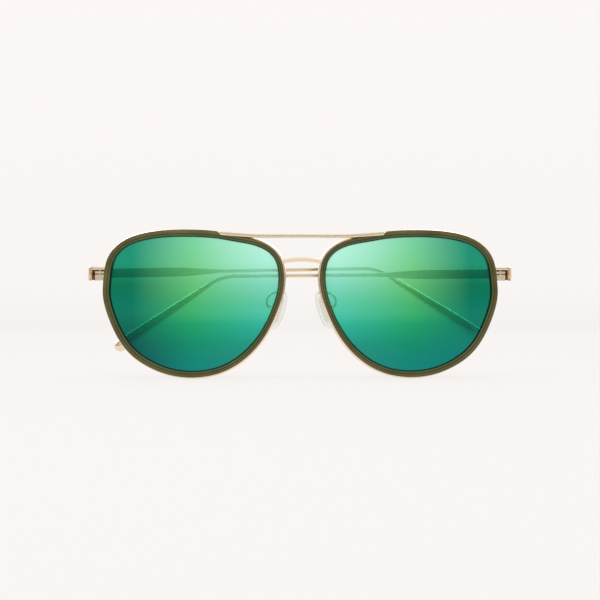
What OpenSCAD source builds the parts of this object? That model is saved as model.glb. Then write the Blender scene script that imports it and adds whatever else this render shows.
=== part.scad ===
// Aviator sunglasses with acetate inner rims, a brow bar and a pad bridge.
// The glasses stand as they are worn: +X is the wearer's left, the lenses face -Y and +Z is up.
// The origin is the nose seat, midway between the two nose pads. The temples are drawn folded.

/* [Front] */
// Half the distance between the lens centres
lens_cx = 37.35; // [37:0.05:38]
// Radius of the sphere that each lens is part of
sphere_r = 90; // [80:1:110]
// How far the front-most point of the lenses is ahead of the nose seat
front_set = 11.5; // [11:0.25:13]
// Lens thickness
lens_t = 2.0; // [1.6:0.1:2.2]
// Width of the whole rim seen from the front, from its outer edge to the lens
rim_w = 2.45; // [2.2:0.05:2.7]
// Depth of each acetate lip in front of and behind the lens
lip_t = 0.9; // [0.7:0.05:1.2]
// Depth of the metal eyewire from front to back
eyewire_t = 1.6; // [1.2:0.1:1.8]

/* [Bridge] */
// Height of the brow bar's centre above the lens centres
brow_z = 24.15; // [23.5:0.05:24.5]
// Height of the brow bar's section
brow_h = 1.35; // [1:0.05:1.5]
// Height of the pad bridge's centre above the lens centres
pad_bridge_z = 16.15; // [15:0.05:17]
// Thickness of the pad bridge's wire
pad_bridge_h = 1.55; // [1.1:0.05:1.7]

/* [Hinges] */
// Distance of each hinge pin from the mid-plane
pin_x = 71.6; // [71:0.1:72]
// Height of the hinge's centre above the lens centres
hinge_z = 11.4; // [11.2:0.1:11.6]
// Outer radius of the hinge knuckles
knuckle_r = 1.3; // [1.2:0.05:1.35]
// Radius of the hinge screw's shank
pin_r = 0.65; // [0.5:0.05:0.7]

/* [Temples] */
// Straight length from the hinge pin to the start of the ear bend
temple_straight = 94.6; // [93:0.1:96]
// Angle of the ear bend
ear_angle = 33.8; // [31:0.1:36]
// Inner radius of the ear bend
ear_r = 15; // [12:1:20]
// Length from the end of the ear bend to the centre of the rounded end
ear_length = 38.6; // [37:0.1:41]
// Height of the temple at the hinge
temple_h = 3.4; // [3:0.1:3.8]
// Height and thickness of the temple's slim middle
temple_wire = 1.4; // [1.1:0.1:1.6]
// Radius of the tip sleeve's round end
tip_r = 2.1; // [1.8:0.05:2.3]
// How far the wearer's right temple lies back from flat when both are folded
fold_lift = 2.6; // [2.4:0.1:3]

/* [Nose pads] */
// Length of a nose pad
pad_l = 13.5; // [12.5:0.5:14]
// Width of a nose pad
pad_w = 7.4; // [6.5:0.1:8]
// Thickness of a nose pad
pad_t = 2.6; // [2.4:0.1:3]
// Angle between each pad and the vertical, seen from the front
pad_frontal = 18; // [14:1:22]
// Angle between each pad and the mid-plane, seen from above
pad_splay = 25; // [20:1:30]

/* [Hidden] */
$fn = 64;

// The wearer's left is on +X and the right is its mirror image.
LEFT = 1;
RIGHT = -1;

gold = "#d9bd8f";
olive = "#4f4a25";
mirror_green = "#3fb58f";
steel = "#b9b6ae";
nylon = "#ece8dd";
silicone = "#e9efe9";

// Lens centre to outer edge of the rim, towards the temple and upwards, going round once.
outline_points = [
    [30.8, 0], [31.4, 8.3], [29.8, 16.9], [23.8, 23.0], [14.9, 25.7], [4, 26.4],
    [-7, 25.9], [-14.5, 24.7], [-23.4, 22.7], [-30.2, 17.2], [-31.7, 8.4], [-29.9, -0.1],
    [-25.2, -10.2], [-17.4, -18.9], [-7, -24.0], [5.5, -24.5], [16.5, -20.6], [25.2, -12.7]
];
outline_steps = 4;
outline_reach = 31;

// The acetate is set further in on the nose side, where the eyewire shows in front of it.
rim_lean = 0.26;
rim_outer = -0.3;
// Beyond the end of the brow bar, the acetate covers the top of the eyewire.
cover_start = 29.2;
cover_low = 12;
cover_edge = -0.01;
eyewire_bite = 0.6;
lens_bite = 0.8;
slip = 0.03;

apex_x = 28.7;
front_y = -front_set;
ring_front = front_y - 3;
ring_back = front_y + 16;

brow_bend_x = 16;
brow_end = [27.9, 25.05];
brow_front = front_y + 2.3;
brow_back = brow_front + 1.8;

bridge_half = 7.4;
bridge_rise = 0.9;
bridge_front = front_y + 3.6;

strip_t = 1.2;
pin_y = front_y + 14;
strip_offset = 2.0;
butt_gap = 0.05;
endpiece_front = front_y + 9.5;
endpiece_x = pin_x + strip_offset + strip_t / 2;
endpiece_start = 67.9;
endpiece_low = 8.9;
endpiece_high = 13.6;
endpiece_bar = 1.0;
endpiece_depth = eyewire_t + 0.3;
elbow_r = 2.5;
top_corner_r = 1.1;
low_corner_r = 0.7;
lock_x = [68.2, 71.5];
lock_high = 12.0;
lock_split = 11.1;
lock_gap = 0.35;
lock_screw_x = 69.9;
lock_head_r = 0.75;
lock_head_h = 0.45;

knuckle_h = 1.4;
knuckle_gap = 0.2;
head_r = 0.95;
head_h = 0.45;
leaf_half = 1.6;
hinge_half = knuckle_h * 1.5 + knuckle_gap;

bore_slip = 0.04;
taper_start = 27;
taper_end = 47;
tip_gap = 1.2;
core_r = 0.5;
core_l = 26;
tip_cone = 30;

pad_centre = [7.9, 0, -1.4];
pad_pin = 2.6;
pad_pin_r = 0.42;
box_wall = 0.7;
box_gap = 0.7;
arm_r = 0.45;
arm_route = [
    [6.1, -6.8, 4.6], [6.1, -5.4, 4.7], [7.8, -4.6, 4.9], [10.3, -3.8, 4.3], [11.8, -2.9, 2.6],
    [12.0, -2.0, 0.8], [11.4, -1.65, -0.3]
];

// A closed cubic spline through a list of points.
function wrap(list, i) = list[(i + len(list)) % len(list)];
function controls(points, guess, passes) =
    passes == 0 ? guess : controls(points, [
        for (i = [0 : len(points) - 1]) (6 * points[i] - wrap(guess, i - 1) - wrap(guess, i + 1)) / 4
    ], passes - 1);
function spline_point(c, i, t) =
    (pow(1 - t, 3) * wrap(c, i - 1)
    + (3 * pow(t, 3) - 6 * pow(t, 2) + 4) * wrap(c, i)
    + (-3 * pow(t, 3) + 3 * pow(t, 2) + 3 * t + 1) * wrap(c, i + 1)
    + pow(t, 3) * wrap(c, i + 2)) / 6;
function spline(points, steps) =
    let (c = controls(points, points, 8))
    [for (i = [0 : len(points) - 1], k = [0 : steps - 1]) spline_point(c, i, k / steps)];

outline = spline(outline_points, outline_steps);

// The outline moved outwards by a distance that leans from the nose side to the temple side.
function normal(i) =
    let (t = wrap(outline, i + 1) - wrap(outline, i - 1)) [t.y, -t.x] / norm(t);
function moved(distance, lean = rim_lean) = [
    for (i = [0 : len(outline) - 1])
        outline[i] + normal(i) * (distance + lean * outline[i].x / outline_reach)
];

// Draws a left-hand part as it is, or its mirror image for the right.
module on_side(side) {
    if (side == LEFT) children();
    else mirror([1, 0, 0]) children();
}

// A flat outline round the lens centre, as a prism along Y.
module prism(points) {
    translate([lens_cx, ring_back, 0]) rotate([90, 0, 0])
        linear_extrude(ring_back - ring_front) polygon(points);
}

// The space between two depths behind the lens's front sphere.
module between(front, back) {
    translate([apex_x, front_y + sphere_r, 0]) difference() {
        sphere(sphere_r - front);
        sphere(sphere_r - back);
    }
}

// A bar between two points of the front view, with round ends.
module flat_bar(a, b, height, front, back) {
    span = b - a;
    translate([a.x, back, a.y]) rotate([90, 0, 0]) rotate(atan2(span.y, span.x)) {
        translate([0, -height / 2, 0]) cube([norm(span), height, back - front]);
        for (x = [0, norm(span)]) translate([x, 0, 0]) cylinder(d = height, h = back - front);
    }
}

module brow_shape(height) {
    flat_bar([-brow_bend_x, brow_z], [brow_bend_x, brow_z], height, brow_front, brow_back);
    for (side = [LEFT, RIGHT]) on_side(side)
        flat_bar([brow_bend_x, brow_z], brow_end, height, brow_front, brow_back);
}

module brow_bar() {
    color(gold) brow_shape(brow_h);
}

// A low arch that joins the eyewires on the nose side, with its ends trimmed clear of the acetate.
module pad_bridge() {
    arch_r = (pow(bridge_half, 2) + pow(bridge_rise, 2)) / (2 * bridge_rise);
    depth = pad_bridge_h;
    color(gold) difference() {
        intersection() {
            translate([0, bridge_front + depth, pad_bridge_z - arch_r]) rotate([90, 0, 0]) difference() {
                cylinder(r = arch_r + pad_bridge_h / 2, h = depth, $fn = 128);
                translate([0, 0, -1]) cylinder(r = arch_r - pad_bridge_h / 2, h = depth + 2, $fn = 128);
            }
            translate([-bridge_half, bridge_front - 1, 0]) cube([2 * bridge_half, depth + 2, pad_bridge_z + 5]);
        }
        for (side = [LEFT, RIGHT]) on_side(side) prism(moved(rim_outer + slip));
    }
}

module lens(side) {
    color(mirror_green) on_side(side) intersection() {
        prism(moved(lens_bite - rim_w, 0));
        between(0, lens_t);
    }
}

// The acetate holds the lens in an inner groove and sits in the eyewire by an outer groove.
// A notch behind its front lip clears the endpiece and the lock.
module acetate_rim(side) {
    color(olive) on_side(side) difference() {
        intersection() {
            difference() {
                union() {
                    prism(moved(rim_outer));
                    intersection() {
                        prism(moved(cover_edge, 0));
                        translate([cover_start, ring_front, cover_low])
                            cube([40, ring_back - ring_front, 20]);
                    }
                }
                prism(moved(-rim_w, 0));
            }
            between(-lip_t, lens_t + lip_t);
        }
        intersection() {
            prism(moved(lens_bite - rim_w + slip, 0));
            between(-slip, lens_t + slip);
        }
        difference() {
            between(-slip, eyewire_t + slip);
            prism(moved(rim_outer - eyewire_bite - slip));
        }
        translate([endpiece_start - slip, endpiece_front - slip, endpiece_low - slip])
            cube([5, endpiece_depth + 2 * slip, endpiece_high - endpiece_low + 2 * slip]);
        brow_shape(brow_h + 2 * slip);
    }
}

// The metal ring is split at the temple side, where the two lock blocks close it.
module eyewire(side) {
    color(gold) on_side(side) difference() {
        intersection() {
            difference() {
                prism(moved(0, 0));
                prism(moved(rim_outer - eyewire_bite));
            }
            between(0, eyewire_t);
        }
        translate([lens_cx + 20, ring_front, lock_split - lock_gap / 2])
            cube([20, ring_back - ring_front, lock_gap]);
        brow_shape(brow_h);
    }
}

// One block on each end of the split eyewire.
module lock_block(low, high, bore) {
    difference() {
        translate([lock_x[0], endpiece_front, low]) cube([lock_x[1] - lock_x[0], endpiece_depth, high - low]);
        translate([lock_screw_x, endpiece_front + endpiece_depth / 2, low - 1])
            cylinder(r = bore, h = high - low + 2);
    }
}

module rim_lock_upper(side) {
    color(gold) on_side(side)
        lock_block(lock_split + lock_gap / 2, lock_high, 0.5 + bore_slip);
}

module rim_lock_lower(side) {
    color(gold) on_side(side)
        lock_block(endpiece_low, lock_split - lock_gap / 2, 0.5);
}

// The lock screw goes down through the endpiece and both blocks, with its head sunk in the endpiece.
module rim_lock_screw(side) {
    place_at = [lock_screw_x, endpiece_front + endpiece_depth / 2, 0];
    color(steel) on_side(side) translate(place_at) difference() {
        union() {
            translate([0, 0, endpiece_low + 0.3]) cylinder(r = 0.5, h = endpiece_high - endpiece_low - 0.4);
            translate([0, 0, endpiece_high - lock_head_h])
                cylinder(r = lock_head_r - bore_slip, h = lock_head_h);
        }
        translate([-1, -0.11, endpiece_high - 0.2]) cube([2, 0.22, 1]);
    }
}

// A strip that runs outwards along the front and turns back round an elbow to the hinge.
module endpiece(side) {
    height = endpiece_high - endpiece_low;
    corner = [endpiece_x - elbow_r, endpiece_front + elbow_r];
    color(gold) on_side(side) difference() {
        translate([0, 0, endpiece_low]) {
            translate([endpiece_start, endpiece_front, 0])
                cube([corner.x - endpiece_start, endpiece_depth, height]);
            intersection() {
                translate([corner.x, corner.y, 0]) difference() {
                    cylinder(r = elbow_r, h = height);
                    translate([0, 0, -1]) cylinder(r = elbow_r - strip_t, h = height + 2);
                }
                translate([corner.x, endpiece_front, 0]) cube([elbow_r, elbow_r, height]);
            }
            translate([endpiece_x - strip_t, corner.y, 0])
                cube([strip_t, pin_y - butt_gap - corner.y, height]);
        }
        translate([endpiece_start - 1, endpiece_front - 1, endpiece_low - 1])
            cube([endpiece_x - strip_t - endpiece_start + 1, 4, height - endpiece_bar + 1]);
        translate([lock_screw_x, endpiece_front + endpiece_depth / 2, endpiece_high - endpiece_bar - 1]) {
            cylinder(r = 0.5 + bore_slip, h = endpiece_bar + 2);
            translate([0, 0, endpiece_bar + 1 - lock_head_h]) cylinder(r = lock_head_r, h = 1);
        }
        round_off(endpiece_high, 1, top_corner_r);
        round_off(endpiece_low, -1, low_corner_r);
    }
}

// What to take off the endpiece's outer edge, at its top or its bottom, to round it.
module round_off(z, up, r) {
    translate([endpiece_x - r, endpiece_front - 1, z - up * r]) difference() {
        translate([0, 0, up > 0 ? 0 : -r - 1]) cube([r + 1, 6, r + 1]);
        translate([0, -1, 0]) rotate([-90, 0, 0]) cylinder(r = r, h = 8);
    }
}

// The front leaf carries the lowest and the highest knuckle, where the hinge screw's head is sunk.
module front_hinge(side) {
    leaf_x = endpiece_x - strip_t;
    color(gold) on_side(side) difference() {
        union() {
            for (z = [hinge_z - hinge_half, hinge_z + hinge_half - knuckle_h])
                translate([pin_x, pin_y, z]) cylinder(r = knuckle_r, h = knuckle_h);
            translate([pin_x, pin_y - 2.1, hinge_z - hinge_half])
                cube([leaf_x - pin_x, 2.0, 2 * hinge_half]);
        }
        translate([pin_x, pin_y, hinge_z - hinge_half - 1])
            cylinder(r = pin_r + bore_slip, h = 2 * hinge_half + 2);
        translate([pin_x, pin_y, hinge_z + hinge_half - head_h]) cylinder(r = head_r + bore_slip, h = 1);
        translate([pin_x, pin_y, hinge_z - knuckle_h / 2 - knuckle_gap])
            cylinder(r = knuckle_r + 0.1, h = knuckle_h + 2 * knuckle_gap);
        translate([pin_x - 1, pin_y - 3, hinge_z - knuckle_h / 2 - knuckle_gap])
            cube([1 + 0.7, 4, knuckle_h + 2 * knuckle_gap]);
    }
}

module hinge_screw(side) {
    color(steel) on_side(side) translate([pin_x, pin_y, hinge_z]) {
        translate([0, 0, -hinge_half - 0.2]) cylinder(r = pin_r, h = 2 * hinge_half + 0.2 - head_h);
        translate([0, 0, hinge_half - head_h]) difference() {
            cylinder(r = head_r, h = head_h);
            translate([-0.13, -2, 0.2]) cube([0.26, 4, 1]);
        }
    }
}

module hinge_washers(side) {
    thick = knuckle_gap - 2 * slip;
    color(nylon) on_side(side)
        for (z = [hinge_z - knuckle_h / 2 - knuckle_gap, hinge_z + knuckle_h / 2])
            translate([pin_x, pin_y, z + slip]) difference() {
                cylinder(r = knuckle_r - 0.1, h = thick);
                translate([0, 0, -1]) cylinder(r = pin_r + bore_slip, h = thick + 2);
            }
}

// Wire arm from the back of the eyewire to the pad box.
module pad_arm(side) {
    color(gold) on_side(side) for (i = [1 : len(arm_route) - 1]) {
        span = arm_route[i] - arm_route[i - 1];
        translate(arm_route[i - 1]) rotate([0, acos(span.z / norm(span)), atan2(span.y, span.x)])
            cylinder(r = arm_r, h = norm(span), $fn = 24);
        translate(arm_route[i - 1]) sphere(arm_r, $fn = 24);
    }
}

// The pad's own axes: X outwards from the nose, Y across the pad and Z along it.
module at_pad(side) {
    on_side(side) translate(pad_centre) rotate([0, -pad_frontal, 0]) rotate([0, 0, -pad_splay])
        children();
}

// An open box whose two ears hold the pad screw.
module pad_box(side) {
    half = box_gap + box_wall;
    reach = [pad_pin - 0.75, pad_pin + 1.3];
    color(gold) at_pad(side) difference() {
        translate([reach[0], -half, -1.3]) cube([reach[1] - reach[0], 2 * half, 2.6]);
        translate([reach[0] - 1, -box_gap, -2]) cube([reach[1] - reach[0] + 0.5, 2 * box_gap, 4]);
        translate([pad_pin, 3, 0]) rotate([90, 0, 0]) cylinder(r = pad_pin_r, h = 6);
    }
}

module pad_screw(side) {
    half = box_gap + box_wall;
    color(steel) at_pad(side) translate([pad_pin, half, 0]) rotate([90, 0, 0]) {
        cylinder(r = pad_pin_r, h = 2 * half);
        translate([0, 0, -0.35]) difference() {
            cylinder(r = 0.75, h = 0.35);
            translate([-1, -0.12, -1]) cube([2, 0.24, 1.15]);
        }
    }
}

// A stiff plate inside the silicone, with a tab that turns on the pad screw.
module core_shape(grow) {
    half_l = 3;
    half_w = 1.7 + grow;
    translate([-0.2 - grow, 0, 0]) rotate([0, 90, 0]) {
        for (a = [-half_l, half_l]) translate([a, 0, 0]) cylinder(r = half_w, h = 0.7 + 2 * grow);
        translate([-half_l, -half_w, 0]) cube([2 * half_l, 2 * half_w, 0.7 + 2 * grow]);
    }
}

module core_tab(grow) {
    half = box_gap - 0.1 + grow;
    translate([0, -half, -0.65 - grow]) cube([pad_pin, 2 * half, 1.3 + 2 * grow]);
    translate([pad_pin, half, 0]) rotate([90, 0, 0]) cylinder(r = 0.65 + grow, h = 2 * half);
}

module pad_core(side) {
    color(nylon) at_pad(side) difference() {
        union() {
            core_shape(0);
            core_tab(0);
        }
        translate([pad_pin, 3, 0]) rotate([90, 0, 0]) cylinder(r = pad_pin_r + bore_slip, h = 6);
    }
}

module nose_pad(side) {
    rim = 48;
    oval = [for (i = [0 : rim - 1]) [pad_l / 2 * cos(360 * i / rim), pad_w / 2 * sin(360 * i / rim)]];
    color(silicone) at_pad(side) difference() {
        translate([-pad_t / 2, 0, 0]) rotate([0, 90, 0]) linear_extrude(pad_t) polygon(oval);
        core_shape(slip);
        core_tab(slip);
    }
}

// The temple's own axes: X backwards from the hinge pin, Y outwards and Z up, as on an open temple.
// Folded, it turns inwards by 90 degrees, less its lift, and slopes a little up or down its length.
function lift(side) = side == RIGHT ? fold_lift : 0;
function slope(side) = side == LEFT ? -0.55 : 1.15;
module at_temple(side) {
    on_side(side) translate([pin_x, pin_y, hinge_z]) rotate(90 + 90 - lift(side)) mirror([0, 1, 0])
        children();
}
module sloped(side) {
    rotate([0, -slope(side), 0]) children();
}

// Where the middle of the temple is at a distance from the hinge, and its angle there.
bend_l = ear_r * PI * ear_angle / 180;
function place(s) =
    s <= temple_straight ? [s, 0]
    : s <= temple_straight + bend_l ?
        let (a = (s - temple_straight) / ear_r * 180 / PI)
        [temple_straight + ear_r * sin(a), -ear_r * (1 - cos(a))]
    : place(temple_straight + bend_l)
        + (s - temple_straight - bend_l) * [cos(ear_angle), -sin(ear_angle)];
function turn(s) =
    -min(max(s - temple_straight, 0), bend_l) / ear_r * 180 / PI;
function half_height(s) =
    s <= taper_start ? temple_h / 2
    : s >= taper_end ? temple_wire / 2
    : temple_h / 2
        + (temple_wire - temple_h) / 4 * (1 - cos(180 * (s - taper_start) / (taper_end - taper_start)));
function edge(s, up) = place(s) + up * half_height(s) * [-sin(turn(s)), cos(turn(s))];

temple_stops = [
    butt_gap, taper_start,
    for (i = [1 : 7]) taper_start + (taper_end - taper_start) * i / 8,
    taper_end, temple_straight,
    for (i = [1 : 8]) temple_straight + bend_l * i / 8,
    temple_straight + bend_l + tip_gap
];

module at_ear(side) {
    start = place(temple_straight + bend_l + tip_gap);
    at_temple(side) sloped(side) translate([start.x, strip_offset, start.y])
        rotate([0, 90 + ear_angle, 0]) children();
}

module temple(side) {
    last = len(temple_stops) - 1;
    shape = concat(
        [for (s = temple_stops) edge(s, 1)],
        [for (i = [last : -1 : 0]) edge(temple_stops[i], -1)]
    );
    color(gold) {
        at_temple(side) sloped(side) translate([0, strip_offset + strip_t / 2, 0]) rotate([90, 0, 0])
            linear_extrude(strip_t) polygon(shape);
        at_ear(side) translate([0, 0, -0.5]) cylinder(r = core_r, h = core_l + 0.5, $fn = 32);
    }
}

// A sleeve that widens over the end of the temple's wire.
module temple_tip(side) {
    length = ear_length - tip_gap;
    color(gold) at_ear(side) difference() {
        union() {
            cylinder(r1 = 0.95, r2 = tip_r, h = tip_cone);
            translate([0, 0, tip_cone]) cylinder(r = tip_r, h = length - tip_cone);
            translate([0, 0, length]) sphere(tip_r);
        }
        translate([0, 0, -1]) cylinder(r = core_r + slip, h = core_l + 1 + slip, $fn = 32);
    }
}

// The temple leaf carries the middle knuckle.
module temple_hinge(side) {
    color(gold) at_temple(side) difference() {
        union() {
            translate([0, 0, -knuckle_h / 2]) cylinder(r = knuckle_r, h = knuckle_h);
            translate([butt_gap, 0, -knuckle_h / 2])
                cube([6, strip_offset - strip_t / 2, knuckle_h]);
            translate([knuckle_r + 0.2, 0, -leaf_half])
                cube([6 + butt_gap - knuckle_r - 0.2, strip_offset - strip_t / 2, 2 * leaf_half]);
        }
        translate([0, 0, -2]) cylinder(r = pin_r + bore_slip, h = 4);
        translate([knuckle_r + 0.2, -1, -2]) cube([6, 1.8, 4]);
    }
}

brow_bar();
pad_bridge();
lens(RIGHT);  // lens_right
lens(LEFT);  // lens_left
acetate_rim(RIGHT);  // acetate_rim_right
acetate_rim(LEFT);  // acetate_rim_left
eyewire(RIGHT);  // eyewire_right
eyewire(LEFT);  // eyewire_left
endpiece(RIGHT);  // endpiece_right
endpiece(LEFT);  // endpiece_left
rim_lock_upper(RIGHT);  // rim_lock_upper_right
rim_lock_upper(LEFT);  // rim_lock_upper_left
rim_lock_lower(RIGHT);  // rim_lock_lower_right
rim_lock_lower(LEFT);  // rim_lock_lower_left
rim_lock_screw(RIGHT);  // rim_lock_screw_right
rim_lock_screw(LEFT);  // rim_lock_screw_left
front_hinge(RIGHT);  // front_hinge_right
front_hinge(LEFT);  // front_hinge_left
hinge_screw(RIGHT);  // hinge_screw_right
hinge_screw(LEFT);  // hinge_screw_left
hinge_washers(RIGHT);  // hinge_washers_right
hinge_washers(LEFT);  // hinge_washers_left
pad_arm(RIGHT);  // pad_arm_right
pad_arm(LEFT);  // pad_arm_left
pad_box(RIGHT);  // pad_box_right
pad_box(LEFT);  // pad_box_left
pad_screw(RIGHT);  // pad_screw_right
pad_screw(LEFT);  // pad_screw_left
nose_pad(RIGHT);  // nose_pad_right
nose_pad(LEFT);  // nose_pad_left
pad_core(RIGHT);  // pad_core_right
pad_core(LEFT);  // pad_core_left
temple(RIGHT);  // temple_right
temple(LEFT);  // temple_left
temple_hinge(RIGHT);  // temple_hinge_right
temple_hinge(LEFT);  // temple_hinge_left
temple_tip(RIGHT);  // temple_tip_right
temple_tip(LEFT);  // temple_tip_left
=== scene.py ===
"""Aviator sunglasses, standing as they are worn with the temples folded.

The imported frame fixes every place. The rims, lenses, bars, temples and pads are rebuilt here as smooth meshes
in the same places, from the same outline. The hinges, screws and other small fittings keep their CAD meshes.
Everything is in metres; the sizes below are in millimetres and are scaled once, by MM.
"""
import math

import bmesh
import bpy
from mathutils import Matrix, Vector


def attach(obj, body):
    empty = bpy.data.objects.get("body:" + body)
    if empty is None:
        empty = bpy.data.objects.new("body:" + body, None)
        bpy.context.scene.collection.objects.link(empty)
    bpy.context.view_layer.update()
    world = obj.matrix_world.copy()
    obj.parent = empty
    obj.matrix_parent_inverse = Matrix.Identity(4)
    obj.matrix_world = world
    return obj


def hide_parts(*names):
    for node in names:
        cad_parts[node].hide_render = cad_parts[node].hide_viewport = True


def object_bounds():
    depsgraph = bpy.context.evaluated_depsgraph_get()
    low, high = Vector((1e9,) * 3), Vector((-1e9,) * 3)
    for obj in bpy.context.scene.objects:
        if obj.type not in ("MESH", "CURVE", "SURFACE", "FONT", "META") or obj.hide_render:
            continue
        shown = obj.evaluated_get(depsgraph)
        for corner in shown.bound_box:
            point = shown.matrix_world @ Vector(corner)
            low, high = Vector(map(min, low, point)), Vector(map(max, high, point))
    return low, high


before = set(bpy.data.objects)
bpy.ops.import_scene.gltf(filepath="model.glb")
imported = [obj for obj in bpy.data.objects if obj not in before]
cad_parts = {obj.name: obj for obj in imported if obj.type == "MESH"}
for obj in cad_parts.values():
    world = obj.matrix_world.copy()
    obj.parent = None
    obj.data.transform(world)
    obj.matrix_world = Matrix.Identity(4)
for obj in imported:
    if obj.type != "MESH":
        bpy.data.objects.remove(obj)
cad_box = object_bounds()

MM = 0.001
SIDES = {"left": 1, "right": -1}

FLOOR_GAP = 0.3 * MM

# ---- sizes in millimetres, as in the CAD model ----
LENS_X = 37.35
SPHERE_R = 90.0
APEX_X = 28.7
FRONT_Y = -11.5
LENS_T = 2.0
RIM_OUTER = -0.3
RIM_W = 2.45
RIM_LEAN = 0.26
RIM_REACH = 31.0
COVER_START, COVER_LOW, COVER_EDGE = 29.2, 12.0, -0.01
LIP = 0.9
LENS_BITE = 0.8
LENS_BEVEL = 0.15
# Ring levels on the lens's front where its band of painted shade next to the acetate lies.
SHADE_BAND_START, SHADE_BAND_END = 0.957, 0.994
EYEWIRE_BITE = 0.6
EYEWIRE_T = 1.6
SLIP = 0.03

BROW_Z = 24.15
BROW_H = 1.35
BROW_BEND_X = 16.0
BROW_END = (27.9, 25.05)
BROW_FRONT = FRONT_Y + 2.3
BROW_T = 1.8

BRIDGE_Z = 16.15
BRIDGE_HALF = 7.4
BRIDGE_RISE = 0.9
BRIDGE_D = 1.55
BRIDGE_FRONT = FRONT_Y + 3.6

PIN = (71.6, 2.5, 11.4)
STRIP_T = 1.2
STRIP_EDGE_R = 0.25
STRIP_OFFSET = 2.0
BUTT_GAP = 0.05
END_X = 74.2
END_START = 67.9
END_FRONT = FRONT_Y + 9.5
END_DEPTH = 1.9
END_LOW, END_HIGH = 8.9, 13.6
END_BAR = 1.0
ELBOW_R = 2.5
TOP_CORNER_R, LOW_CORNER_R = 1.1, 0.7
LOCK_SPLIT, LOCK_GAP = 11.1, 0.35
LOCK_SCREW_X = 69.9
LOCK_HEAD_R, LOCK_HEAD_H = 0.75, 0.45

STRAIGHT = 94.6
EAR_ANGLE = 33.8
EAR_R = 15.0
EAR_L = 38.6
TEMPLE_H = 3.4
TEMPLE_WIRE = 1.4
TEMPLE_EDGE_R = 0.36
TAPER = (27.0, 47.0)
TIP_R = 2.1
TIP_NECK = 0.95
TIP_CONE = 30.0
TIP_GAP = 1.2
LIFT = {"left": 0.0, "right": 2.6}
SLOPE = {"left": -0.55, "right": 1.15}

PAD_CENTRE = (7.9, 0.0, -1.4)
PAD_L, PAD_W, PAD_T = 13.5, 7.4, 2.6
PAD_FRONTAL, PAD_SPLAY = 18.0, 25.0
ARM_R = 0.45
ARM_ROUTE = [(6.1, -6.8, 4.6), (6.1, -5.4, 4.7), (7.8, -4.6, 4.9), (10.3, -3.8, 4.3), (11.8, -2.9, 2.6),
             (12.0, -2.0, 0.8), (11.4, -1.65, -0.3)]

# From the lens centre to the outer edge of the rim, towards the temple and upwards, going round once.
OUTLINE_POINTS = [
    (30.8, 0), (31.4, 8.3), (29.8, 16.9), (23.8, 23.0), (14.9, 25.7), (4, 26.4),
    (-7, 25.9), (-14.5, 24.7), (-23.4, 22.7), (-30.2, 17.2), (-31.7, 8.4), (-29.9, -0.1),
    (-25.2, -10.2), (-17.4, -18.9), (-7, -24.0), (5.5, -24.5), (16.5, -20.6), (25.2, -12.7),
]
OUTLINE_STEPS = 16


# ---- curves ----
def closed_spline(points, steps):
    """A closed cubic spline through the points."""
    n = len(points)
    points = [Vector(p) for p in points]
    ctrl = list(points)
    for _ in range(8):
        ctrl = [(6 * points[i] - ctrl[i - 1] - ctrl[(i + 1) % n]) / 4 for i in range(n)]
    out = []
    for i in range(n):
        a, b, c, d = ctrl[i - 1], ctrl[i], ctrl[(i + 1) % n], ctrl[(i + 2) % n]
        for k in range(steps):
            t = k / steps
            out.append((a * (1 - t) ** 3 + b * (3 * t**3 - 6 * t**2 + 4)
                        + c * (-3 * t**3 + 3 * t**2 + 3 * t + 1) + d * t**3) / 6)
    return out


def open_spline(points, steps):
    """A smooth curve through the points, end to end."""
    points = [Vector(p) for p in points]
    ends = [2 * points[0] - points[1], *points, 2 * points[-1] - points[-2]]
    out = []
    for a, b, c, d in zip(ends, ends[1:], ends[2:], ends[3:]):
        for k in range(steps):
            t = k / steps
            out.append(0.5 * (2 * b + (c - a) * t + (2 * a - 5 * b + 4 * c - d) * t**2
                              + (3 * b - a - 3 * c + d) * t**3))
    out.append(points[-1])
    return out


OUTLINE = closed_spline(OUTLINE_POINTS, OUTLINE_STEPS)
NORMALS = []
for i in range(len(OUTLINE)):
    along = OUTLINE[(i + 1) % len(OUTLINE)] - OUTLINE[i - 1]
    NORMALS.append(Vector((along.y, -along.x)).normalized())


def moved(distance):
    """The outline moved outwards."""
    return [p + n * distance for p, n in zip(OUTLINE, NORMALS)]


def depth_y(x, z, back):
    """Y of the spherical front at a place in the front view, so far behind its surface."""
    r = SPHERE_R - back
    return FRONT_Y + SPHERE_R - math.sqrt(max(r * r - (x - APEX_X) ** 2 - z * z, 1.0))


def on_front(p, back):
    """A point of the outline's own plane, on the left lens, at a depth behind the front sphere."""
    x, z = LENS_X + p.x, p.y
    return Vector((x, depth_y(x, z, back), z))


# ---- meshes ----
def make(name, verts, faces, side=1, smooth=30):
    """A mesh object from millimetre points. The right-hand side is the left one mirrored."""
    mesh = bpy.data.meshes.new(name)
    mesh.from_pydata([(v[0] * side * MM, v[1] * MM, v[2] * MM) for v in verts], [], faces)
    bm = bmesh.new()
    bm.from_mesh(mesh)
    bmesh.ops.recalc_face_normals(bm, faces=bm.faces)
    bm.to_mesh(mesh)
    bm.free()
    obj = bpy.data.objects.new(name, mesh)
    bpy.context.scene.collection.objects.link(obj)
    shade(obj, smooth)
    return obj


def shade(obj, angle=30):
    """Smooth shading with sharp edges above an angle."""
    for f in obj.data.polygons:
        f.use_smooth = True
    obj.data.set_sharp_from_angle(angle=math.radians(angle))


def loft(rings, closed=False):
    """Faces between rings of points, each ring closed. Open lofts get a cap at each end."""
    n, count = len(rings[0]), len(rings)
    verts = [v for ring in rings for v in ring]
    faces = []
    for i in range(count if closed else count - 1):
        j = (i + 1) % count
        faces += [(i * n + k, i * n + (k + 1) % n, j * n + (k + 1) % n, j * n + k) for k in range(n)]
    if not closed:
        faces += [tuple(range(n)), tuple(range((count - 1) * n, count * n))[::-1]]
    return verts, faces


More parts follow.
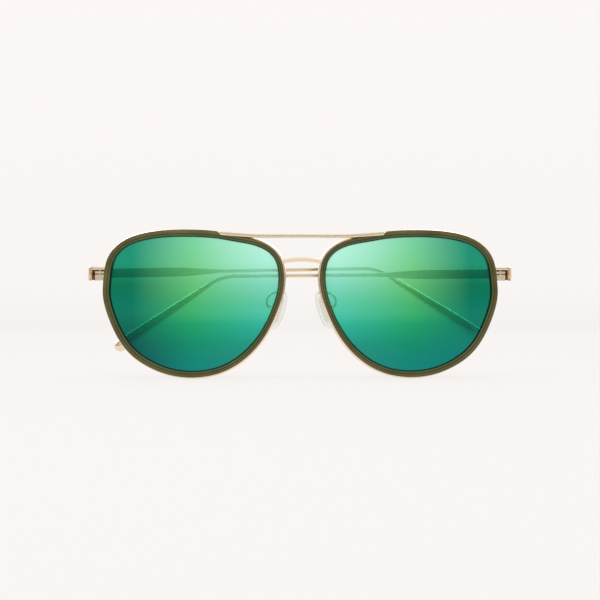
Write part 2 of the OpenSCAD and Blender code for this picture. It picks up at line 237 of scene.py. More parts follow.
def rounded_rect(width, height, radius, top=None, low=None, steps=5):
    """Points round a rectangle centred on zero. The corners on its low-X side may have their own radii."""
    out = []
    corners = ((1, 1, 0, radius), (-1, 1, 90, top or radius),
               (-1, -1, 180, low or radius), (1, -1, 270, radius))
    for cx, cy, start, r in corners:
        for k in range(steps + 1):
            a = math.radians(start + 90 * k / steps)
            out.append((cx * (width / 2 - r) + r * math.cos(a), cy * (height / 2 - r) + r * math.sin(a)))
    return out


def circle(radius, count=32):
    return [(radius * math.cos(2 * math.pi * k / count), radius * math.sin(2 * math.pi * k / count))
            for k in range(count)]


def tube(path, radius_at, sides=20):
    """Rings round a path of points, with the radius given for each by its share of the length."""
    path = [Vector(p) for p in path]
    run = [0.0]
    for a, b in zip(path, path[1:]):
        run.append(run[-1] + (b - a).length)
    side = Vector((0, 0, 1))
    rings = []
    for i, p in enumerate(path):
        way = (path[min(i + 1, len(path) - 1)] - path[max(i - 1, 0)]).normalized()
        side = (side - way * side.dot(way)).normalized()
        other = way.cross(side)
        rings.append([p + side * a + other * b for a, b in circle(radius_at(run[i] / run[-1]), sides)])
    return rings


def carve(obj, cutter):
    """Cuts one solid from another and removes the cutter."""
    cut = obj.modifiers.new("cut", "BOOLEAN")
    cut.operation, cut.solver, cut.object = "DIFFERENCE", "EXACT", cutter
    cut.material_mode = "INDEX"
    done = bpy.data.meshes.new_from_object(obj.evaluated_get(bpy.context.evaluated_depsgraph_get()))
    obj.modifiers.clear()
    obj.data = done
    bpy.data.objects.remove(cutter)
    shade(obj)


def box(low, high, side):
    """A box cutter between two corners on the left-hand side, or its mirror image."""
    x, y, z = zip(low, high)
    base = [(x[0], y[0]), (x[1], y[0]), (x[1], y[1]), (x[0], y[1])]
    return make("cutter", *loft([[(a, b, c) for a, b in base] for c in z]), side=SIDES[side])


def drill(place, radius, low, high, side):
    """An upright round cutter."""
    rings = [[(place[0] + a, place[1] + b, z) for a, b in circle(radius)] for z in (low, high)]
    return make("cutter", *loft(rings), side=SIDES[side])


def rim_plug(side):
    """A cutter that fills the space inside the eyewire, where the acetate sits."""
    edge = [p + n * (RIM_OUTER + SLIP + RIM_LEAN * p.x / RIM_REACH) for p, n in zip(OUTLINE, NORMALS)]
    rings = [[(LENS_X + p.x, y, p.y) for p in edge] for y in (FRONT_Y - 3, FRONT_Y + 16)]
    return make("cutter", *loft(rings), side=SIDES[side])


# ---- materials ----
def linear(r, g, b):
    """A colour as seen on a screen, 0 to 255, as the linear colour that a shader takes."""
    def one(v):
        v /= 255
        return v / 12.92 if v <= 0.04045 else ((v + 0.055) / 1.055) ** 2.4
    return (one(r), one(g), one(b), 1.0)


def grey(level):
    """A linear grey, which may be brighter than white."""
    return (level, level, level, 1.0)


class Nodes:
    """Short ways to build a material's node tree."""

    def __init__(self, name):
        self.mat = bpy.data.materials.new(name)
        self.mat.use_nodes = True
        self.tree = self.mat.node_tree
        self.bsdf = self.tree.nodes["Principled BSDF"]
        self.out = self.tree.nodes["Material Output"]

    def add(self, kind, inputs=None, **settings):
        node = self.tree.nodes.new("ShaderNode" + kind)
        for key, value in settings.items():
            setattr(node, key, value)
        for key, value in (inputs or {}).items():
            if isinstance(value, bpy.types.NodeSocket):
                self.tree.links.new(value, node.inputs[key])
            else:
                node.inputs[key].default_value = value
        return node

    def set(self, **values):
        """Sets the shader's inputs; an underscore in a name stands for a space."""
        for key, value in values.items():
            socket = self.bsdf.inputs[key.replace("_", " ")]
            if isinstance(value, bpy.types.NodeSocket):
                self.tree.links.new(value, socket)
            else:
                socket.default_value = value

    def place(self):
        return self.add("TexCoord").outputs["Object"]

    def noise(self, scale, detail=3.0, vector=None):
        node = self.add("TexNoise", {"Scale": scale, "Detail": detail, "Vector": vector or self.place()})
        return node.outputs["Fac"]

    def ramp(self, value, stops, ease="LINEAR"):
        node = self.add("ValToRGB", {"Fac": value})
        node.color_ramp.interpolation = ease
        points = node.color_ramp.elements
        while len(points) < len(stops):
            points.new(0.5)
        for point, (at, colour) in zip(points, stops):
            point.position, point.color = at, colour
        return node.outputs["Color"]

    def math(self, operation, a, b=0.0):
        return self.add("Math", {0: a, 1: b}, operation=operation).outputs[0]

    def span(self, value, low, high):
        node = self.add("MapRange", {"Value": value, "From Min": low, "From Max": high})
        return node.outputs["Result"]

    def mix(self, share, a, b, blend="MIX"):
        node = self.add("Mix", data_type="RGBA", blend_type=blend)
        for socket, value in ((node.inputs[0], share), (node.inputs[6], a), (node.inputs[7], b)):
            if isinstance(value, bpy.types.NodeSocket):
                self.tree.links.new(value, socket)
            else:
                socket.default_value = value
        return node.outputs[2]

    def bump(self, height, distance, strength=1.0):
        node = self.add("Bump", {"Height": height, "Distance": distance, "Strength": strength})
        self.set(Normal=node.outputs["Normal"])


def gold_material():
    """Polished champagne-gold plating, with faint drawn lines and a slightly warmer tone here and there."""
    m = Nodes("champagne_gold")
    tone = m.noise(260, 3)
    m.set(Metallic=1.0, Base_Color=m.mix(tone, linear(236, 216, 186), linear(246, 230, 204)),
          Roughness=m.span(m.noise(900, 2), -0.6, 4.0))
    m.bump(m.noise(1400, 2), 0.0000005)
    return m.mat


def steel_material():
    m = Nodes("screw_steel")
    m.set(Metallic=1.0, Base_Color=linear(205, 200, 190), Roughness=m.span(m.noise(3000, 2), -1.0, 3.0))
    m.bump(m.noise(5000, 2), 0.000004)
    return m.mat


def hinge_material():
    """The hinges' leaves and knuckles, coloured darker than the plating round them: painted shade for the
    recess behind the endpiece where they sit.
    """
    m = Nodes("hinge_painted_shade")
    m.set(Metallic=1.0, Base_Color=m.mix(m.noise(600, 2), linear(112, 84, 52), linear(134, 104, 68)),
          Roughness=m.span(m.noise(2000, 2), -1.5, 3.0))
    m.bump(m.noise(4000, 2), 0.000004)
    return m.mat


def acetate_material(name, deep, light):
    """Polished cellulose acetate: cloudy olive with slow drifts of tone below a clear gloss."""
    m = Nodes(name)
    drift = m.span(m.noise(110, 4), 0.3, 0.7)
    m.set(Base_Color=m.mix(drift, deep, light), Roughness=m.span(m.noise(700, 2), -1.2, 4.0),
          Specular_IOR_Level=0.35, Coat_Weight=0.12, Coat_Roughness=0.05, IOR=1.49)
    m.bump(m.noise(420, 2), 0.00001)
    return m.mat


def lens_material(side):
    """Green mirror coat that lets half of the light through, bluer towards the temple and the bottom. Its
    colour is partly the coat's own grading and partly painted reflection: the near-white mint at the top
    towards the nose is a painted highlight, and the right lens's low corner towards the temple is painted
    darker than the left's.
    """
    m = Nodes("mirror_lens_" + side)
    axes = m.add("SeparateXYZ", {0: m.place()})
    out = m.math("MULTIPLY", axes.outputs["X"], float(SIDES[side]))
    across = m.span(out, (LENS_X - 28) * MM, (LENS_X + 28) * MM)
    up = m.span(axes.outputs["Z"], -22 * MM, 23 * MM)
    low_corner = {"left": (linear(20, 128, 124), linear(20, 132, 120), linear(20, 128, 106)),
                  "right": (linear(18, 82, 88), linear(20, 92, 90), linear(18, 114, 94))}
    levels = (0.05, 0.2, 0.35, 0.5, 0.65, 0.82, 1.0)
    # Painted highlight: the nose-side column brightens to near-white mint at the top.
    inner = m.ramp(up, list(zip(levels, (
        linear(46, 146, 134), linear(40, 160, 144), linear(52, 190, 166), linear(100, 220, 188),
        linear(138, 232, 204), linear(178, 248, 226), linear(196, 253, 236)))))
    middle = m.ramp(up, list(zip(levels, (
        linear(20, 140, 128), linear(22, 148, 112), linear(34, 168, 110), linear(80, 198, 124),
        linear(108, 208, 130), linear(124, 214, 150), linear(126, 216, 168)))))
    outer = m.ramp(up, list(zip(levels, (
        *low_corner[side],
        linear(18, 138, 112), linear(20, 132, 98), linear(38, 164, 128), linear(34, 160, 132)))))
    near = m.mix(m.span(across, 0.05, 0.5), inner, middle)
    colour = m.mix(m.span(across, 0.5, 0.88), near, outer)
    m.set(Base_Color=colour, Metallic=0.5, Roughness=0.16, Specular_IOR_Level=0.15, IOR=1.5)
    clear = m.add("BsdfTransparent", {"Color": colour})
    share = m.add("MixShader", {0: 0.5, 1: m.bsdf.outputs[0], 2: clear.outputs[0]})
    m.tree.links.new(share.outputs[0], m.out.inputs["Surface"])
    return m.mat


def lens_painted_shade_material():
    """Painted shade: a narrow dark band where a lens runs under the acetate, fading out near the nose and at
    the top.
    """
    m = Nodes("lens_painted_shade")
    axes = m.add("SeparateXYZ", {0: m.place()})
    nose = m.span(m.math("ABSOLUTE", axes.outputs["X"]), 18 * MM, 10 * MM)
    top = m.span(axes.outputs["Z"], 13 * MM, 23 * MM)
    colour = m.mix(m.math("MAXIMUM", nose, top), linear(8, 52, 34), linear(52, 176, 144))
    m.set(Base_Color=colour, Roughness=m.span(m.noise(900, 2), -0.4, 3.0), Specular_IOR_Level=0.2)
    return m.mat


def lens_back_material():
    """The uncoated inside of a lens: nearly all see-through, with a dark gloss."""
    m = Nodes("lens_inside")
    m.set(Base_Color=linear(20, 60, 46), Roughness=0.05, IOR=1.5)
    clear = m.add("BsdfTransparent", {"Color": linear(250, 252, 251)})
    share = m.add("MixShader", {0: 0.96, 1: m.bsdf.outputs[0], 2: clear.outputs[0]})
    m.tree.links.new(share.outputs[0], m.out.inputs["Surface"])
    return m.mat


def clear_material(name, outline, haze):
    """Clear soft plastic: see-through face on, with a greyer outline where it is seen at a slant, painted shade
    standing for the darker edges that refraction gives.
    """
    m = Nodes(name)
    m.set(Base_Color=outline, Roughness=m.span(m.noise(900, 2), -0.6, 3.0), Coat_Weight=0.3)
    m.bump(m.noise(500, 2), 0.00001)
    # Painted shade: the grey outline where the surface is seen at a slant.
    slant = m.add("LayerWeight", {"Blend": 0.35}).outputs["Facing"]
    clear = m.add("BsdfTransparent", {"Color": linear(251, 252, 250)})
    dense = m.math("MAXIMUM", m.span(slant, 0.52, 1.0), haze)
    share = m.add("MixShader", {0: dense, 1: clear.outputs[0], 2: m.bsdf.outputs[0]})
    m.tree.links.new(share.outputs[0], m.out.inputs["Surface"])
    return m.mat


def nylon_material(name, colour):
    m = Nodes(name)
    m.set(Base_Color=m.mix(m.noise(800, 2), colour, linear(250, 247, 240)), Roughness=0.42,
          Subsurface_Weight=0.15, Subsurface_Radius=(1, 1, 1), Subsurface_Scale=0.0006)
    m.bump(m.noise(1800, 2), 0.00001)
    return m.mat


def stage_material():
    """A pale matte surface that glows, so its shadows stay faint. The floor is lit more and glows less."""
    m = Nodes("pale_stage")
    height = m.add("SeparateXYZ", {0: m.place()}).outputs["Z"]
    glow = m.ramp(m.span(height, -0.025, 0.475),
                  [(0.0, grey(0.862)), (0.08, grey(0.897)), (0.85, grey(0.918))])
    m.set(Base_Color=linear(98, 97, 96), Roughness=0.9, Specular_IOR_Level=0.0,
          Emission_Color=linear(247, 243, 241), Emission_Strength=glow)
    return m.mat


GOLD = gold_material()
STEEL = steel_material()
# Painted shade: a darker gold for the hinges in their recess.
HINGE = hinge_material()
LENS_INSIDE = lens_back_material()
# Painted shade on the lens where it runs under the acetate.
LENS_PAINTED_SHADE = lens_painted_shade_material()
ACETATE = acetate_material("olive_acetate", linear(72, 66, 20), linear(96, 88, 38))
# Painted shade and painted reflection: the near-black acetate goes on the rim's rounded outer edge and down the
# bevel to the lens, and the greener one on a band of the bevel, standing for the green lens reflected there.
EDGE_SHADE = acetate_material("olive_acetate_painted_edge_shade", linear(22, 20, 6), linear(34, 32, 12))
BEVEL = acetate_material("olive_acetate_bevel_painted_green", linear(60, 76, 34), linear(76, 94, 48))
SILICONE = clear_material("clear_silicone", linear(104, 106, 102), 0.03)
NYLON = nylon_material("natural_nylon", linear(236, 230, 214))
INSERT = clear_material("frosted_insert", linear(222, 222, 216), 0.16)


def finish_piece(obj, material, slot, body, *nodes):
    """Gives a piece its body and a material unless it is painted, and hides the CAD nodes it replaces; the slot
    argument is not used.
    """
    if not obj.data.materials:
        obj.data.materials.append(material)
    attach(obj, body)
    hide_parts(*nodes)


def paint(obj, materials, pick):
    """Gives a piece several materials, picked for each face by its number."""
    for material in materials:
        obj.data.materials.append(material)
    for face in obj.data.polygons:
        face.material_index = pick(face.index)


def acetate_painted_shading(face, around):
    """Which acetate material a face of the rim takes: painted shade, dark at both edges and along the bevel's
    start, and a painted green reflection of the lens on the band after that start.
    """
    place = face % around
    return 1 if place in (1, 2, 3, 4, 9, 11, 12, 13) else 2 if place == 10 else 0


# ---- front ----
def ring(name, side, section):
    """A closed ring whose section is given at each place by distances outwards and backwards."""
    rings = []
    for i in range(len(OUTLINE)):
        rings.append([on_front(OUTLINE[i] + NORMALS[i] * out, back) for out, back in section(*OUTLINE[i])])
    return make(name, *loft(rings, closed=True), side=SIDES[side])


def corner(cx, cy, r, start, end, steps=5):
    """Points on an arc of a section."""
    return [(cx + r * math.cos(math.radians(start + (end - start) * k / steps)),
             cy + r * math.sin(math.radians(start + (end - start) * k / steps))) for k in range(steps + 1)]


def acetate_section(u, w):
    """Crowned front, a bevel down to the lens, a groove for the lens inside and for the eyewire outside."""
    seat = RIM_OUTER + RIM_LEAN * u / RIM_REACH
    covers = LENS_X + u > COVER_START and w > COVER_LOW
    outer = COVER_EDGE if covers else seat
    inner = -RIM_W
    groove = inner + LENS_BITE + SLIP
    bite = seat - EYEWIRE_BITE - SLIP
    back = LENS_T + LIP
    return [
        (bite, -SLIP), (outer, -SLIP),
        *corner(outer - 0.42, -LIP + 0.42, 0.42, 0, -90),
        (outer - 0.7, -LIP), (inner + 1.05, -LIP + 0.02), (inner + 0.8, -LIP + 0.08),
        (inner + 0.3, -LIP + 0.36), (inner + 0.08, -LIP + 0.5), (inner, -LIP + 0.62),
        (inner, -SLIP), (groove, -SLIP), (groove, LENS_T + SLIP), (inner, LENS_T + SLIP),
        *corner(inner + 0.35, back - 0.35, 0.35, 180, 90),
        *corner(outer - 0.4, back - 0.4, 0.4, 90, 0),
        (outer, EYEWIRE_T + SLIP), (bite, EYEWIRE_T + SLIP),
    ]


def eyewire_section(u, _):
    """A wire with a crowned outer face and a shallow groove along it."""
    inner = RIM_OUTER + RIM_LEAN * u / RIM_REACH - EYEWIRE_BITE
    return [
        (inner, 0), *corner(-0.25, 0.25, 0.25, -90, -20, 4), (0.08, 0.35),
        (0.14, 0.6), (0.06, 0.7), (0.06, 0.9), (0.14, 1.0), (0.08, EYEWIRE_T - 0.35),
        *corner(-0.25, EYEWIRE_T - 0.25, 0.25, 20, 90, 4), (inner, EYEWIRE_T),
    ]


def brow_path(samples=24):
    """Front-view points along the brow bar, straight in the middle and eased into its sloping ends."""
    bend = 2.5
    half = []
    rise = (BROW_END[1] - BROW_Z) / (BROW_END[0] - BROW_BEND_X)
    for k in range(samples + 1):
        x = BROW_END[0] * k / samples
        past = x - BROW_BEND_X
        eased = 0 if past < -bend else past if past > bend else (past + bend) ** 2 / (4 * bend)
        half.append((x, BROW_Z + rise * eased))
    return [(-x, z) for x, z in half[:0:-1]] + half


def brow_bar(name, grow=0.0):
    """A flat bar with rounded edges and rounded ends."""
    path = brow_path()
    length = BROW_END[0]
    rings = []
    radius = BROW_H / 2 + grow
    mid_y = BROW_FRONT + BROW_T / 2
    stations = []
    for k in range(7):
        a = math.radians(90 * k / 6)
        stations.append((-length - radius * math.cos(a) * 0.98, math.sin(a)))
    stations = stations[:-1] + [(x, 1.0) for x, _ in path] + [(-x, s) for x, s in stations[-2::-1]]
    slope = (BROW_END[1] - BROW_Z) / (BROW_END[0] - BROW_BEND_X)
    heights = dict(path)
    for x, share in stations:
        z = heights.get(x, BROW_END[1] + slope * (abs(x) - length))
        h = max(BROW_H * share, 0.12) + 2 * grow
        t = BROW_T - 0.25 * (1 - share) + 2 * grow
        section = rounded_rect(t, h, min(0.28, h / 2.2))
        rings.append([(x, mid_y + a, z + b) for a, b in section])
    return make(name, *loft(rings))


def pad_bridge():
    """A low arch of round wire that widens a little towards the eyewires and is cut clear of the acetate."""
    arch_r = (BRIDGE_HALF**2 + BRIDGE_RISE**2) / (2 * BRIDGE_RISE)
    centre_y = BRIDGE_FRONT + BRIDGE_D / 2
    rings = []
    count = 48
    for k in range(count + 1):
        x = BRIDGE_HALF * (2 * k / count - 1)
        z = BRIDGE_Z - arch_r + math.sqrt(arch_r**2 - x * x)
        a = math.asin(x / arch_r)
        flare = 1 + 0.1 * min(1.0, max(0.0, (abs(x) - 5.4) / 1.4)) ** 2
        rings.append([(x + b * math.sin(a), centre_y + c, z + b * math.cos(a))
                      for b, c in circle(BRIDGE_D / 2 * flare, 28)])
    arch = make("bridge_arch", *loft(rings))
    for side in SIDES:
        carve(arch, rim_plug(side))
    return arch


def lens(side):
    """A spherical shell, bevelled at its edge, with a mirror coat in front and a band of painted shade by the
    acetate.
    """
    edge = moved(LENS_BITE - RIM_W)
    n = len(edge)
    rings = 26
    middle = Vector((0, 0))
    levels = [(k / rings, 0.0) for k in range(1, rings)]
    levels[-1:] = [(SHADE_BAND_START, 0.0), (SHADE_BAND_END, 0.0), (1.0, LENS_BEVEL)]
    levels += [(1.0, LENS_T - LENS_BEVEL), (SHADE_BAND_END, LENS_T)]
    levels += [(k / rings, LENS_T) for k in range(rings - 1, 0, -1)]
    verts = [on_front(middle, 0.0)]
    for share, back in levels:
        verts += [on_front(p * share, back) for p in edge]
    verts.append(on_front(middle, LENS_T))
    faces = [(0, 1 + k, 1 + (k + 1) % n) for k in range(n)]
    for r in range(len(levels) - 1):
        a, b = 1 + r * n, 1 + (r + 1) * n
        faces += [(a + k, b + k, b + (k + 1) % n, a + (k + 1) % n) for k in range(n)]
    last = 1 + (len(levels) - 1) * n
    faces += [(len(verts) - 1, last + (k + 1) % n, last + k) for k in range(n)]
    shell = make("lens_shell_" + side, verts, faces, SIDES[side], smooth=40)
    # Painted shade: the faces next to the acetate towards the temple and along the bottom take the dark band.
    shaded = [p.x > 21 or p.y < -6 for p in OUTLINE]
    shade_band_from, inside = n * (rings - 1), n * (rings + 1)
    pick = lambda face: 1 if face >= inside else 2 if face >= shade_band_from and shaded[face % n] else 0
    paint(shell, (lens_material(side), LENS_INSIDE, LENS_PAINTED_SHADE), pick)
    return shell


def endpiece(side):
    """A bar that leaves the rim, turns round an elbow and drops to the hinge's full height half-way round."""
    mid_x = END_X - STRIP_T / 2
    turn_r = ELBOW_R - STRIP_T / 2
    corner_x, corner_y = END_X - ELBOW_R, END_FRONT + ELBOW_R
    stations = []
    for x in (END_START, END_START + 0.15, 69.0, 69.8, corner_x):
        stations.append((x, END_FRONT + STRIP_T / 2, 0))
    for k in range(1, 13):
        a = 90 * k / 12
        stations.append((corner_x + turn_r * math.sin(math.radians(a)),
                         corner_y - turn_r * math.cos(math.radians(a)), a))
    back = PIN[1] - BUTT_GAP
    stations += [(mid_x, corner_y + 0.8, 90), (mid_x, back - 0.15, 90), (mid_x, back, 90)]
    rings = []
    for x, y, a in stations:
        drop = min(max((a - 38) / 10, 0.0), 1.0)
        low = (END_HIGH - END_BAR) * (1 - drop) + END_LOW * drop
        trim = 0.15 if (x, y) in ((END_START, END_FRONT + STRIP_T / 2), (mid_x, back)) else 0.0
        height = END_HIGH - low - trim
        turned = min(max((a - 40) / 40, 0.0), 1.0)
        top = STRIP_EDGE_R + (0.8 * TOP_CORNER_R - STRIP_EDGE_R) * turned
        bottom = STRIP_EDGE_R + (0.8 * LOW_CORNER_R - STRIP_EDGE_R) * turned
        across = Vector((-math.sin(math.radians(a)), math.cos(math.radians(a))))
        rings.append([(x + across.x * b, y + across.y * b, (END_HIGH + low) / 2 + c)
                      for b, c in rounded_rect(STRIP_T - trim, height, STRIP_EDGE_R, top, bottom)])
    arm = make("endpiece_arm_" + side, *loft(rings), side=SIDES[side], smooth=50)
    screw_at = (LOCK_SCREW_X, END_FRONT + END_DEPTH / 2)
    carve(arm, drill(screw_at, LOCK_HEAD_R, END_HIGH - LOCK_HEAD_H, END_HIGH + 1, side))
    carve(arm, drill(screw_at, 0.54, END_HIGH - 2, END_HIGH + 1, side))
    return arm


# ---- temples ----
BEND_L = EAR_R * math.radians(EAR_ANGLE)


def temple_place(s):
    """Where the temple's middle is at a distance from the hinge, with its downward angle there."""
    if s <= STRAIGHT:
        return s, 0.0, 0.0
    a = min((s - STRAIGHT) / EAR_R, math.radians(EAR_ANGLE))
    rest = max(s - STRAIGHT - BEND_L, 0.0)
    return (STRAIGHT + EAR_R * math.sin(a) + rest * math.cos(a),
            -EAR_R * (1 - math.cos(a)) - rest * math.sin(a), a)


def temple_height(s):
    share = min(max((s - TAPER[0]) / (TAPER[1] - TAPER[0]), 0.0), 1.0)
    return TEMPLE_H + (TEMPLE_WIRE - TEMPLE_H) * (1 - math.cos(math.pi * share)) / 2


def folded(side):
    """The matrix from an open left temple's own axes to its folded place, in millimetres."""
    return (Matrix.Translation(PIN) @ Matrix.Rotation(math.radians(180 - LIFT[side]), 4, "Z")
            @ Matrix.Scale(-1, 4, (0, 1, 0)) @ Matrix.Rotation(math.radians(-SLOPE[side]), 4, "Y"))


def temple(side):
    """A strip that tapers in height to a slim wire and bends down behind the ear."""
    stops = [BUTT_GAP, BUTT_GAP + 0.2] + [2.0 * k for k in range(1, int(STRAIGHT / 2) + 1)] + [STRAIGHT]
    stops += [STRAIGHT + BEND_L * k / 16 for k in range(1, 17)]
    stops += [STRAIGHT + BEND_L + TIP_GAP + 0.4]
    to_world = folded(side)
    rings = []
    for s in stops:
        x, z, a = temple_place(s)
        trim = 0.2 if s == BUTT_GAP else 0.0
        h = temple_height(s) - trim
        rings.append([to_world @ Vector((x + c * math.sin(a), STRIP_OFFSET + b, z + c * math.cos(a)))
                      for b, c in rounded_rect(STRIP_T - trim, h, TEMPLE_EDGE_R)])
    return make("temple_arm_" + side, *loft(rings), side=SIDES[side], smooth=50)


def temple_tip(side):
    """A sleeve that swells smoothly to a round end, with a collar and a fine groove."""
    x0, z0, a = temple_place(STRAIGHT + BEND_L + TIP_GAP)
    length = EAR_L - TIP_GAP
    way = Vector((math.cos(a), 0, -math.sin(a)))
    up = Vector((math.sin(a), 0, math.cos(a)))
    outline = [(0.0, TIP_NECK - 0.12), (0.06, TIP_NECK), (1.2, TIP_NECK), (1.3, TIP_NECK - 0.1),
               (1.5, TIP_NECK - 0.1), (1.6, TIP_NECK + 0.02)]
    for k in range(1, 17):
        t = 1.6 + (TIP_CONE - 1.6) * k / 16
        outline.append((t, TIP_NECK + (TIP_R - TIP_NECK) * t / TIP_CONE))
    outline += [(length - 2.0, TIP_R), (length - 1.9, TIP_R - 0.18), (length - 1.5, TIP_R - 0.18),
                (length - 1.4, TIP_R)]
    outline += [(length + TIP_R * math.sin(math.radians(b)), TIP_R * math.cos(math.radians(b)))
                for b in range(0, 90, 8)]
    outline.append((length + TIP_R, 0.05))
    to_world = folded(side)
    rings = []
    for t, r in outline:
        centre = Vector((x0, STRIP_OFFSET, z0)) + way * t
        rings.append([to_world @ (centre + Vector((0, b, 0)) + up * c) for b, c in circle(r, 32)])
    return make("temple_sleeve_" + side, *loft(rings), side=SIDES[side], smooth=45)


# ---- nose pads ----
def pad_matrix():
    return (Matrix.Translation(PAD_CENTRE) @ Matrix.Rotation(math.radians(-PAD_FRONTAL), 4, "Y")
            @ Matrix.Rotation(math.radians(-PAD_SPLAY), 4, "Z"))


def nose_pad(side):
    """A soft drop-shaped cushion: crowned towards the nose, flatter at the back, narrower at the top."""
    to_world = pad_matrix()
    rows, cols = 40, 40
    rings = []
    for i in range(1, rows):
        v = -math.cos(math.pi * i / rows)
        reach = (1 - abs(v) ** 2.3) ** (1 / 2.3)
        width = PAD_W / 2 * reach * (1 - 0.09 * v)
        thick = PAD_T / 2 * (1 - abs(v) ** 3.2) ** (1 / 2.2)
        ring_points = []
        for k in range(cols):
            a = 2 * math.pi * k / cols
            c, s = math.cos(a), math.sin(a)
            x = thick * math.copysign(abs(c) ** 0.75, c)
            y = width * math.copysign(abs(s) ** 0.9, s)
            ring_points.append(to_world @ Vector((x, y, v * PAD_L / 2)))
        rings.append(ring_points)
    return make("nose_cushion_" + side, *loft(rings), side=SIDES[side], smooth=60)


def pad_arm(side):
    """A bent wire from the eyewire to the pad box, with a small foot at each brazed end."""
    path = open_spline(ARM_ROUTE, 8)
    swell = lambda t: ARM_R * (1 + 0.25 * max(0, 1 - t / 0.06) + 0.2 * max(0, (t - 0.94) / 0.06))
    return make("pad_wire_" + side, *loft(tube(path, swell)), side=SIDES[side], smooth=50)


def build_front():
    bar = brow_bar("brow_bar_flat")
    finish_piece(bar, GOLD, "champagne_gold", "front", "brow_bar")
    finish_piece(pad_bridge(), GOLD, "champagne_gold", "front", "pad_bridge")
    for side in SIDES:
        rim = ring("acetate_ring_" + side, side, acetate_section)
        around = len(acetate_section(0, 0))
        # The rim's edges and bevel take painted shade and a painted lens reflection.
        paint(rim, (ACETATE, EDGE_SHADE, BEVEL), lambda face: acetate_painted_shading(face, around))
        carve(rim, brow_bar("cutter", grow=SLIP))
        carve(rim, box((END_START - SLIP, END_FRONT - SLIP, END_LOW - SLIP),
                       (END_START + 5, END_FRONT + END_DEPTH + SLIP, END_HIGH + SLIP), side))
        finish_piece(rim, ACETATE, "olive_acetate", "front", "acetate_rim_" + side)
        wire = ring("eyewire_ring_" + side, side, eyewire_section)
        carve(wire, box((LENS_X + 20, FRONT_Y, LOCK_SPLIT - LOCK_GAP / 2),
                        (LENS_X + 40, FRONT_Y + 16, LOCK_SPLIT + LOCK_GAP / 2), side))
        finish_piece(wire, GOLD, "champagne_gold", "front", "eyewire_" + side)
        finish_piece(lens(side), LENS_INSIDE, "mirror_lens", "front", "lens_" + side)
        finish_piece(endpiece(side), GOLD, "champagne_gold", "front", "endpiece_" + side)
        finish_piece(pad_arm(side), GOLD, "champagne_gold", "front", "pad_arm_" + side)


def build_moving():
    for side in SIDES:
        finish_piece(temple(side), GOLD, "champagne_gold", "temple_" + side, "temple_" + side)
        finish_piece(temple_tip(side), GOLD, "champagne_gold", "temple_" + side, "temple_tip_" + side)
        finish_piece(nose_pad(side), SILICONE, "silicone", "nose_pad_" + side, "nose_pad_" + side)


def dress_cad_nodes():
    """The small fittings keep their CAD meshes, with a fine bevel on their edges."""
    looks = {"rim_lock_upper": GOLD, "rim_lock_lower": GOLD, "front_hinge": HINGE, "temple_hinge": HINGE,
             "pad_box": GOLD, "rim_lock_screw": STEEL, "hinge_screw": STEEL, "pad_screw": STEEL,
             "hinge_washers": NYLON, "pad_core": INSERT}
    for part, material in looks.items():
        for side in SIDES:
            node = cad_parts[f"{part}_{side}"]
            for slot in node.material_slots:
                slot.material = material
            soft = node.modifiers.new("soft_edges", "BEVEL")
            soft.width, soft.segments = 0.05 * MM, 2
            soft.limit_method, soft.angle_limit = "ANGLE", math.radians(40)


# ---- stage, light and camera ----
def stage_bowl(floor_z):
    """A floor that curves up into a wall all round, far outside every view."""
    profile = [(r, 0.0) for r in (0.0, 0.1, 0.25, 0.5, 0.9)]
    for a in range(0, 91, 10):
        profile.append((1.2 + 0.6 * math.sin(math.radians(a)), 0.6 * (1 - math.cos(math.radians(a)))))
    profile.append((1.8, 2.4))
    count = 72
    verts = [(0, 0, floor_z / MM)]
    for r, h in profile[1:]:
        verts += [(r / MM * math.cos(2 * math.pi * k / count), r / MM * math.sin(2 * math.pi * k / count),
                   floor_z / MM + h / MM) for k in range(count)]
    faces = [(0, 1 + k, 1 + (k + 1) % count) for k in range(count)]
    for r in range(len(profile) - 2):
        a, b = 1 + r * count, 1 + (r + 1) * count
        faces += [(a + k, b + k, b + (k + 1) % count, a + (k + 1) % count) for k in range(count)]
    bowl = make("stage_bowl", verts, faces, smooth=60)
    bowl.data.materials.append(stage_material())


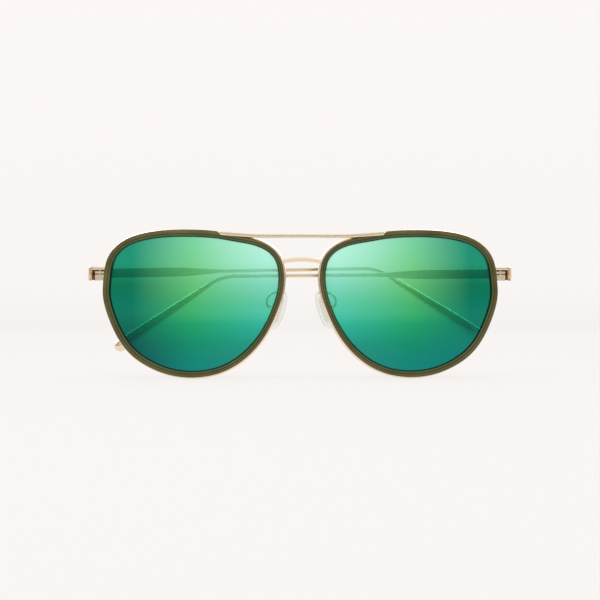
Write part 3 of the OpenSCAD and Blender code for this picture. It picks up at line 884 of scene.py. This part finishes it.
def reflection_dome():
    """A dome that only reflections see: bright above and in two patches behind, dim ahead."""
    bpy.ops.mesh.primitive_uv_sphere_add(segments=48, ring_count=24, radius=1.0)
    dome = bpy.context.object
    dome.name = "reflection_dome"
    m = Nodes("reflection_dome")
    axes = m.add("SeparateXYZ", {0: m.place()})
    height = m.span(axes.outputs["Z"], -1.0, 1.0)
    up = m.ramp(height, [
        (0.47, grey(0.3)), (0.56, grey(0.55)), (0.68, grey(1.0)), (0.93, grey(1.1)), (0.97, grey(1.3)),
    ], "EASE")
    out = m.math("ABSOLUTE", axes.outputs["X"])
    side = m.ramp(out, [(0.0, grey(1.0)), (0.35, grey(0.9)), (0.75, grey(0.38)), (1.0, grey(0.55))], "EASE")
    front = m.mix(1.0, up, side, "MULTIPLY")
    band = m.ramp(height, [
        (0.5, grey(0.5)), (0.62, grey(0.6)), (0.7, grey(1.2)), (0.76, grey(1.2)), (0.84, grey(0.8))], "EASE")
    beside = m.ramp(out, [(0.08, grey(1.0)), (0.2, grey(1.9))], "EASE")
    patch = m.mix(
        1.0,
        m.ramp(out, [(0.12, grey(0.0)), (0.24, grey(4.0)), (0.55, grey(4.0)), (0.7, grey(0.0))]),
        m.ramp(height, [(0.66, grey(0.0)), (0.7, grey(1.0)), (0.76, grey(1.0)), (0.82, grey(0.0))]),
        "MULTIPLY")
    back = m.mix(1.0, m.mix(1.0, band, beside, "MULTIPLY"), patch, "ADD")
    level = m.mix(m.span(axes.outputs["Y"], 0.0, 0.5), front, back)
    m.set(Base_Color=grey(0.0), Specular_IOR_Level=0.0, Emission_Color=level, Emission_Strength=1.0)
    dome.data.materials.append(m.mat)
    dome.visible_camera = False
    dome.visible_diffuse = False
    dome.visible_transmission = False
    dome.visible_shadow = False


def area_light(name, place, aim, size, watts, colour=(1, 1, 1)):
    data = bpy.data.lights.new(name, "AREA")
    data.shape, data.size, data.size_y, data.energy, data.color = "RECTANGLE", size[0], size[1], watts, colour
    obj = bpy.data.objects.new(name, data)
    obj.location = place
    obj.rotation_mode = "QUATERNION"
    obj.rotation_quaternion = (Vector(aim) - Vector(place)).to_track_quat("-Z", "Y")
    obj.visible_glossy = False
    bpy.context.scene.collection.objects.link(obj)


def light_scene():
    world = bpy.data.worlds.new("pale_world")
    bpy.context.scene.world = world
    world.use_nodes = True
    background = world.node_tree.nodes["Background"]
    background.inputs["Color"].default_value = linear(247, 244, 240)
    background.inputs["Strength"].default_value = 0.8
    area_light("key_above", (-0.15, -0.45, 0.75), (0, 0, 0), (0.7, 0.5), 2.5)
    area_light("fill_left", (-0.8, -0.3, 0.25), (0, 0, 0), (0.3, 0.7), 0.6)
    area_light("fill_right", (0.8, -0.25, 0.3), (0, 0, 0), (0.3, 0.7), 0.6)
    area_light("back_soft", (0.1, 0.7, 0.6), (0, 0, 0), (0.7, 0.4), 1.0)
    reflection_dome()


def place_camera():
    """A long lens, level with the lenses and a little to the wearer's right of straight ahead."""
    data = bpy.data.cameras.new("camera")
    data.lens, data.sensor_width = 100, 36
    view_width = 0.2076
    distance = view_width * data.lens / data.sensor_width
    turn = math.radians(2.5)
    aim = Vector((-0.0006, -0.006, 0.0021))
    cam = bpy.data.objects.new("camera", data)
    cam.location = aim - distance * Vector((math.sin(turn), math.cos(turn), 0))
    cam.rotation_euler = (math.radians(90), 0, -turn)
    bpy.context.scene.collection.objects.link(cam)
    bpy.context.scene.camera = cam


build_front()
build_moving()
dress_cad_nodes()
stage_bowl(cad_box[0].z - FLOOR_GAP)
light_scene()
place_camera()
bpy.context.scene.view_settings.view_transform = "Standard"
